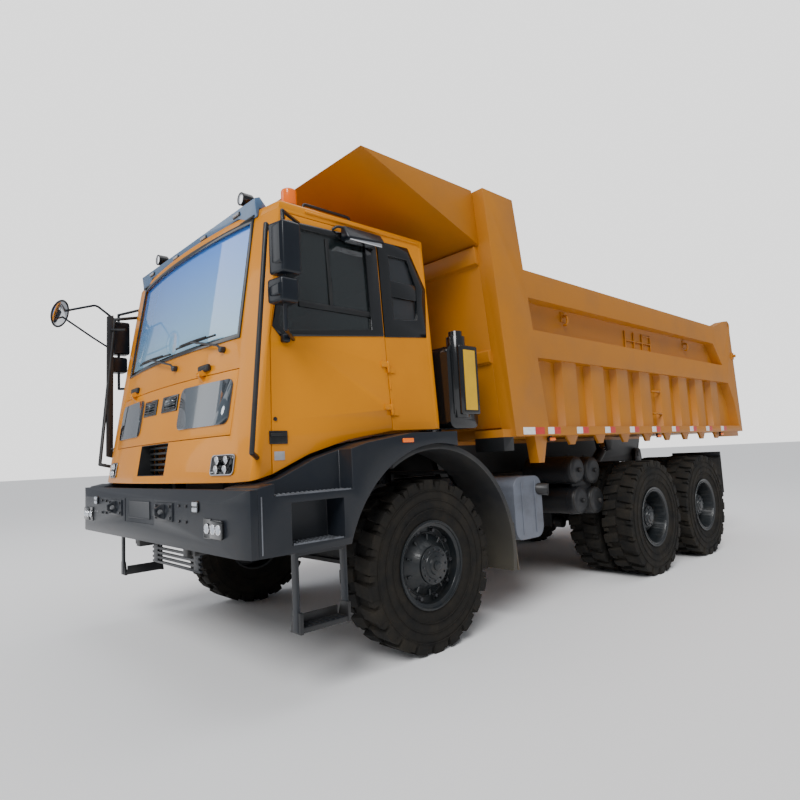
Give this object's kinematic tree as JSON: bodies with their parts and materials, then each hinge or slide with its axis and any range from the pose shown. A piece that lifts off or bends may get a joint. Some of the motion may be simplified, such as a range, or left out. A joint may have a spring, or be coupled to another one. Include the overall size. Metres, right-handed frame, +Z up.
{
  "type": "wide-body mining dump truck, six wheels by four driven, with a tilting cab and a rear-tipping body",
  "caption": "Wide-body mining dump truck with a tilting flat-front cab, twin rear wheels and a ribbed tipping body whose canopy shields the cab.",
  "frame": {"origin": "middle of the footprint on the ground, under the truck's plan centre", "axes": "+X forward, +Y to the driver's left, +Z up from the ground"},
  "size_m": [9.03, 3.564, 4.0399],
  "materials": {
    "cab_paint": "satin enamel on pressed steel",
    "body_paint": "semi-matt enamel on welded plate",
    "black_paint": "black chassis paint",
    "tyre_rubber": "dusty rubber",
    "rim_paint": "black wheel paint",
    "cast_steel": "cast and painted",
    "glass": "clear tinted glass",
    "lamp_lens": "clear lens over a silver reflector",
    "black_plastic": "grained black plastic",
    "gloss_black": "gloss black",
    "muffler_steel": "aluminised steel",
    "trim_fabric": "woven seat cloth",
    "rod_chrome": "hard chrome",
    "red_lens": "red lens"
  },
  "bodies": {
    "chassis": {"chassis_frame": "black_paint", "front_axle": "cast_steel", "drive_axles": "cast_steel", "propeller_shafts": "black_paint", "leaf_springs": "black_paint", "engine_block": "cast_steel", "radiator": "black_paint", "bumper": "black_paint", "bumper_lamps": "lamp_lens", "front_fenders": "black_plastic", "step_skirts": "black_plastic", "muffler": "muffler_steel", "air_tanks": "black_paint", "fuel_tank": "black_paint", "air_cleaner": "gloss_black", "tail_lamps": "red_lens"},
    "cab": {"cab_body": "cab_paint", "cab_back": "cab_paint", "cab_rear_wall": "cab_paint", "cab_floor": "black_paint", "cab_roof": "cab_paint", "cab_glass": "glass", "grille": "black_plastic", "headlamps": "lamp_lens", "visor": "black_plastic", "roof_lamps": "lamp_lens", "grab_rails": "black_paint", "seats": "trim_fabric", "dashboard": "black_plastic"},
    "left_door": {"left_door": "cab_paint", "left_door_glass": "glass", "left_mirror": "black_plastic"},
    "right_door": {"right_door": "cab_paint", "right_door_glass": "glass", "right_mirror": "black_plastic"},
    "front_lid": {"front_lid": "cab_paint", "lid_panels": "gloss_black"},
    "left_knuckle": {"left_knuckle": "cast_steel"},
    "right_knuckle": {"right_knuckle": "cast_steel"},
    "tie_rod": {"tie_rod": "black_paint"},
    "front_left_wheel": {"front_left_tyre": "tyre_rubber", "front_left_rim": "rim_paint"},
    "front_right_wheel": {"front_right_tyre": "tyre_rubber", "front_right_rim": "rim_paint"},
    "middle_left_wheels": {"middle_left_tyres": "tyre_rubber", "middle_left_rims": "rim_paint"},
    "middle_right_wheels": {"middle_right_tyres": "tyre_rubber", "middle_right_rims": "rim_paint"},
    "rear_left_wheels": {"rear_left_tyres": "tyre_rubber", "rear_left_rims": "rim_paint"},
    "rear_right_wheels": {"rear_right_tyres": "tyre_rubber", "rear_right_rims": "rim_paint"},
    "dump_body": {"body_floor": "body_paint", "body_sides": "body_paint", "body_front_wall": "body_paint", "canopy": "body_paint"},
    "tailgate": {"tailgate": "body_paint"},
    "hoist_barrels": {"hoist_barrels": "black_paint"},
    "hoist_rods": {"hoist_rods": "rod_chrome"}
  },
  "joints": [
    {"name": "steering", "type": "hinge", "parent": "chassis", "child": "left_knuckle", "pos_m": [2.685, 1.12, 0.685], "axis": [0, 0, 1], "range_deg": [-30, 30]},
    {"name": "right_steering", "type": "hinge", "parent": "chassis", "child": "right_knuckle", "pos_m": [2.685, -1.12, 0.685], "axis": [0, 0, 1], "range_deg": [-30, 30]},
    {"name": "tie_rod_slide", "type": "slide", "parent": "chassis", "child": "tie_rod", "axis": [0, 1, 0], "range_m": [-0.14, 0.14]},
    {"name": "front_left_roll", "type": "hinge", "parent": "left_knuckle", "child": "front_left_wheel", "pos_m": [2.685, 1.4345, 0.685], "axis": [0, 1, 0], "continuous": true},
    {"name": "front_right_roll", "type": "hinge", "parent": "right_knuckle", "child": "front_right_wheel", "pos_m": [2.685, -1.4345, 0.685], "axis": [0, 1, 0], "continuous": true},
    {"name": "middle_left_roll", "type": "hinge", "parent": "chassis", "child": "middle_left_wheels", "pos_m": [-1.05, 1.372, 0.685], "axis": [0, 1, 0], "continuous": true},
    {"name": "middle_right_roll", "type": "hinge", "parent": "chassis", "child": "middle_right_wheels", "pos_m": [-1.05, -1.372, 0.685], "axis": [0, 1, 0], "continuous": true},
    {"name": "rear_left_roll", "type": "hinge", "parent": "chassis", "child": "rear_left_wheels", "pos_m": [-2.633, 1.372, 0.685], "axis": [0, 1, 0], "continuous": true},
    {"name": "rear_right_roll", "type": "hinge", "parent": "chassis", "child": "rear_right_wheels", "pos_m": [-2.633, -1.372, 0.685], "axis": [0, 1, 0], "continuous": true},
    {"name": "cab_tilt", "type": "hinge", "parent": "chassis", "child": "cab", "pos_m": [4.205, 0, 0.95], "axis": [0, 1, 0], "range_deg": [0, 45]},
    {"name": "left_door_hinge", "type": "hinge", "parent": "cab", "child": "left_door", "pos_m": [2.9815, 1.51785, 2.1], "axis": [0, 0.0605, -0.9982], "range_deg": [-70, 0]},
    {"name": "right_door_hinge", "type": "hinge", "parent": "cab", "child": "right_door", "pos_m": [2.9815, -1.51785, 2.1], "axis": [0, 0.0605, 0.9982], "range_deg": [-70, 0]},
    {"name": "front_lid_hinge", "type": "hinge", "parent": "cab", "child": "front_lid", "pos_m": [4.233, 0, 2.262], "axis": [0, 1, 0], "range_deg": [-60, 0]},
    {"name": "body_tip", "type": "hinge", "parent": "chassis", "child": "dump_body", "pos_m": [-3.365, 0, 1.42], "axis": [0, -1, 0], "range_deg": [0, 45]},
    {"name": "tailgate_hinge", "type": "hinge", "parent": "dump_body", "child": "tailgate", "pos_m": [-4.315, 0, 3.43], "axis": [0, 1, 0], "range_deg": [0, 70]},
    {"name": "hoist_swing", "type": "hinge", "parent": "chassis", "child": "hoist_barrels", "pos_m": [-0.615, 0, 0.62], "axis": [0, 1, 0], "range_deg": [0, 11.17]},
    {"name": "hoist_stroke", "type": "slide", "parent": "hoist_barrels", "child": "hoist_rods", "axis": [-0.8104, 0, 0.5859], "range_m": [0, 1.057]}
  ],
  "couplings": [
    {"joint": "right_steering", "follows": "steering", "ratio": 1},
    {"joint": "tie_rod_slide", "follows": "steering", "m_per_rad": -0.26},
    {"joint": "hoist_swing", "follows": "body_tip", "ratio": 0.23706},
    {"joint": "hoist_stroke", "follows": "body_tip", "m_per_rad": 1.333}
  ]
}
